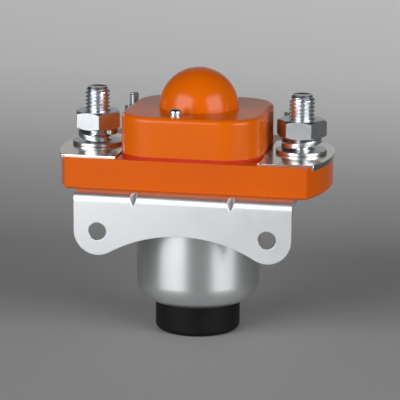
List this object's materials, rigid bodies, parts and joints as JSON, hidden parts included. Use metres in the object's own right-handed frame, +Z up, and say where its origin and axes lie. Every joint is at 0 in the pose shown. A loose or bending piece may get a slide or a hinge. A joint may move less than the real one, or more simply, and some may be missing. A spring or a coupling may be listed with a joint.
{
  "type": "high voltage dc contactor",
  "caption": "Direct current power contactor: orange base and domed cover with terminal studs, coil in a drawn can below, folded bracket with ears in front.",
  "frame": {"origin": "centre of the cap's underside, on the plunger axis", "axes": "+Z up along the plunger axis, +X from the left to the right terminal stud, -Y out of the bracket's flange"},
  "size_m": [0.1082, 0.068, 0.1054],
  "materials": {
    "orange_moulding": "glossy moulded surface",
    "black_cap": "matt",
    "zinc_sheet": "satin zinc plating",
    "zinc_fastener": "bright zinc plating",
    "tinned_copper": "bright tin plating",
    "gasket_red": "matt",
    "copper": "bare copper",
    "winding": "enamelled copper wire",
    "silver_alloy": "ground",
    "soft_iron": "turned",
    "spring_steel": "drawn wire",
    "brass": "turned",
    "natural_plastic": "moulded",
    "lead_insulation": "smooth"
  },
  "bodies": {
    "housing": {"base": "orange_moulding", "cover": "orange_moulding", "base_screws": "zinc_fastener", "cover_gasket": "gasket_red", "cover_screws": "zinc_fastener", "mounting_bracket": "zinc_sheet", "coil_can": "zinc_sheet", "end_cap": "black_cap", "cap_retainer": "zinc_sheet", "core_lock_washer": "zinc_fastener", "core_nut": "zinc_fastener", "fixed_core": "soft_iron", "guide_tube": "brass", "bobbin": "natural_plastic", "coil_winding": "winding", "coil_lead_left": "lead_insulation", "coil_lead_right": "lead_insulation", "coil_stud_left": "zinc_fastener", "coil_stud_right": "zinc_fastener", "coil_washer_left": "zinc_fastener", "coil_washer_right": "zinc_fastener", "coil_nut_left": "zinc_fastener", "coil_nut_right": "zinc_fastener", "terminal_plate_left": "tinned_copper", "terminal_plate_right": "tinned_copper", "terminal_stud_left": "zinc_fastener", "terminal_stud_right": "zinc_fastener", "flat_washer_left": "zinc_fastener", "flat_washer_right": "zinc_fastener", "spring_washer_left": "zinc_fastener", "spring_washer_right": "zinc_fastener", "terminal_nut_left": "zinc_fastener", "terminal_nut_right": "zinc_fastener", "fixed_contact_left": "silver_alloy", "fixed_contact_right": "silver_alloy", "shaft_bush": "brass", "return_spring": "spring_steel"},
    "plunger": {"plunger": "soft_iron", "plunger_shaft": "spring_steel", "spring_retainer": "zinc_fastener", "shaft_nut": "zinc_fastener", "contact_spring": "spring_steel"},
    "bridge": {"contact_bridge": "copper", "bridge_tips": "silver_alloy", "bridge_insulator": "natural_plastic", "insulator_washer": "natural_plastic"}
  },
  "joints": [
    {"name": "plunger_slide", "type": "slide", "parent": "housing", "child": "plunger", "axis": [0, 0, -1], "range_m": [0, 0.0055], "stiffness_N_per_m": 800, "springref_m": -0.01, "deforming": ["return_spring"]},
    {"name": "bridge_follow", "type": "slide", "parent": "plunger", "child": "bridge", "axis": [0, 0, 1], "range_m": [0, 0.0015], "deforming": ["contact_spring"]}
  ],
  "couplings": [
    {"joint": "bridge_follow", "follows": "plunger_slide", "ratio": 0.27273}
  ]
}
